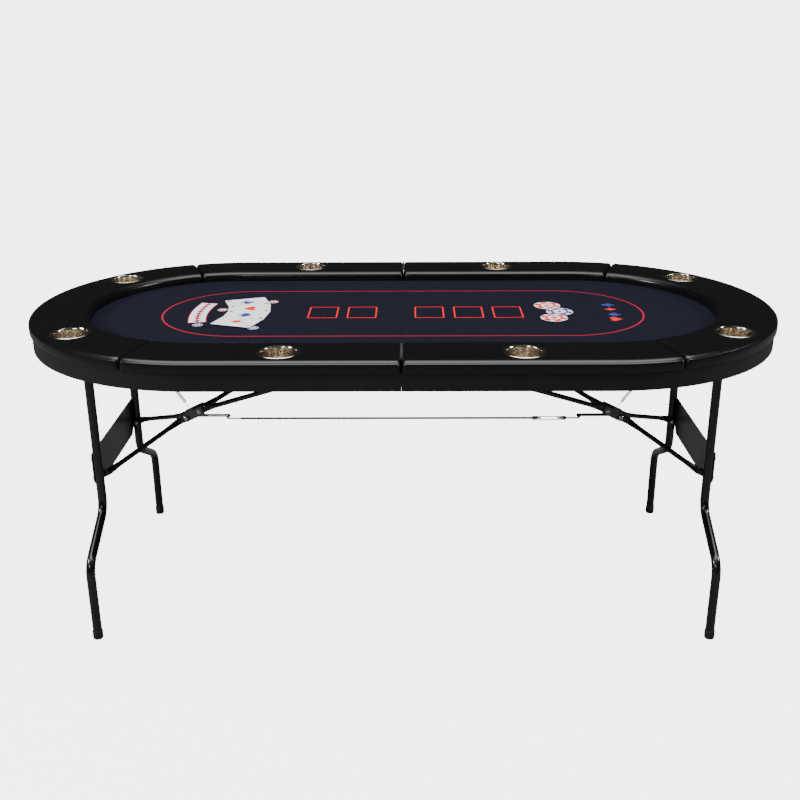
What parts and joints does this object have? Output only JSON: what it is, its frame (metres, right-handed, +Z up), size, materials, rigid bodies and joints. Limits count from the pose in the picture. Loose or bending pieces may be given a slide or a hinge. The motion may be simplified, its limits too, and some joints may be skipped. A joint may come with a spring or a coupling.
{
  "type": "folding poker table",
  "caption": "Oval folding card table with a padded rail, recessed felt, steel cup holders and two folding leg frames with V braces joined by a tie wire.",
  "frame": {"origin": "floor level under the middle of the table", "axes": "+X along the table's length, +Y to the rear, +Z up; the front of the table faces -Y"},
  "size_m": [1.84, 0.93, 0.7638],
  "materials": {
    "felt": "short-nap dark navy playing felt",
    "vinyl": "smooth gloss black vinyl",
    "stainless": "polished stainless",
    "plywood": "dark sealed board",
    "apron": "satin black laminate",
    "rubber": "matt rubber",
    "zinc": "bright zinc plate",
    "spring_steel": "drawn steel",
    "coated_wire": "plastic-coated wire",
    "dark_steel": "dark grey painted steel",
    "black_tube": "gloss black powder coat"
  },
  "bodies": {
    "left_top": {"left_board": "plywood", "left_felt": "felt", "left_apron": "apron", "left_batten": "plywood", "left_end_rail": "vinyl", "left_front_rail": "vinyl", "left_rear_rail": "vinyl", "left_front_cup": "stainless", "left_rear_cup": "stainless", "left_end_front_cup": "stainless", "left_end_rear_cup": "stainless", "left_hinge_leaves": "dark_steel", "left_leg_clamps": "dark_steel", "left_brace_brackets": "dark_steel", "left_spring": "spring_steel", "hinge_pins": "zinc"},
    "right_top": {"right_board": "plywood", "right_felt": "felt", "right_apron": "apron", "right_batten": "plywood", "right_end_rail": "vinyl", "right_front_rail": "vinyl", "right_rear_rail": "vinyl", "right_front_cup": "stainless", "right_rear_cup": "stainless", "right_end_front_cup": "stainless", "right_end_rear_cup": "stainless", "right_hinge_leaves": "dark_steel", "right_leg_clamps": "dark_steel", "right_brace_brackets": "dark_steel", "right_spring": "spring_steel"},
    "left_leg_frame": {"left_front_leg": "black_tube", "left_rear_leg": "black_tube", "left_leg_crossbar": "black_tube", "left_leg_plate": "dark_steel", "left_foot_caps": "rubber", "left_leg_pins": "zinc"},
    "right_leg_frame": {"right_front_leg": "black_tube", "right_rear_leg": "black_tube", "right_leg_crossbar": "black_tube", "right_leg_plate": "dark_steel", "right_foot_caps": "rubber", "right_leg_pins": "zinc"},
    "left_upper_braces": {"left_front_upper_brace": "black_tube", "left_rear_upper_brace": "black_tube", "left_knee_bracket": "dark_steel", "left_knee_rivets": "zinc", "left_tie_bar": "zinc"},
    "right_upper_braces": {"right_front_upper_brace": "black_tube", "right_rear_upper_brace": "black_tube", "right_knee_bracket": "dark_steel", "right_knee_rivets": "zinc", "right_tie_bar": "black_tube"},
    "left_lower_braces": {"left_front_lower_brace": "black_tube", "left_rear_lower_brace": "black_tube"},
    "right_lower_braces": {"right_front_lower_brace": "black_tube", "right_rear_lower_brace": "black_tube"},
    "tie": {"tie_wire": "coated_wire", "tie_hooks": "zinc", "turnbuckle": "zinc"}
  },
  "joints": [
    {"name": "top_fold", "type": "hinge", "parent": "left_top", "child": "right_top", "pos_m": [0, 0, 0.7613], "axis": [0, -1, 0], "range_deg": [0, 180]},
    {"name": "left_leg_fold", "type": "hinge", "parent": "left_top", "child": "left_leg_frame", "pos_m": [-0.753, 0, 0.704], "axis": [0, -1, 0], "range_deg": [0, 90]},
    {"name": "left_upper_brace_swing", "type": "hinge", "parent": "left_top", "child": "left_upper_braces", "pos_m": [-0.05, 0, 0.704], "axis": [0, 1, 0], "range_deg": [0, 25.67], "deforming": ["left_spring"]},
    {"name": "left_lower_brace_swing", "type": "hinge", "parent": "left_leg_frame", "child": "left_lower_braces", "pos_m": [-0.753, 0, 0.36608], "axis": [0, -1, 0], "range_deg": [0, 64.33]},
    {"name": "right_leg_fold", "type": "hinge", "parent": "right_top", "child": "right_leg_frame", "pos_m": [0.753, 0, 0.704], "axis": [0, 1, 0], "range_deg": [0, 90]},
    {"name": "right_upper_brace_swing", "type": "hinge", "parent": "right_top", "child": "right_upper_braces", "pos_m": [0.05, 0, 0.704], "axis": [0, -1, 0], "range_deg": [0, 25.67], "deforming": ["right_spring"]},
    {"name": "right_lower_brace_swing", "type": "hinge", "parent": "right_leg_frame", "child": "right_lower_braces", "pos_m": [0.753, 0, 0.36608], "axis": [0, 1, 0], "range_deg": [0, 64.33]},
    {"name": "tie_unhook", "type": "slide", "parent": "left_top", "child": "tie", "axis": [0, -1, 0], "range_m": [0, 0.04]}
  ],
  "couplings": [
    {"joint": "left_upper_brace_swing", "follows": "left_leg_fold", "ratio": 0.28525},
    {"joint": "left_lower_brace_swing", "follows": "left_leg_fold", "ratio": 0.71475},
    {"joint": "right_upper_brace_swing", "follows": "right_leg_fold", "ratio": 0.28525},
    {"joint": "right_lower_brace_swing", "follows": "right_leg_fold", "ratio": 0.71475}
  ]
}
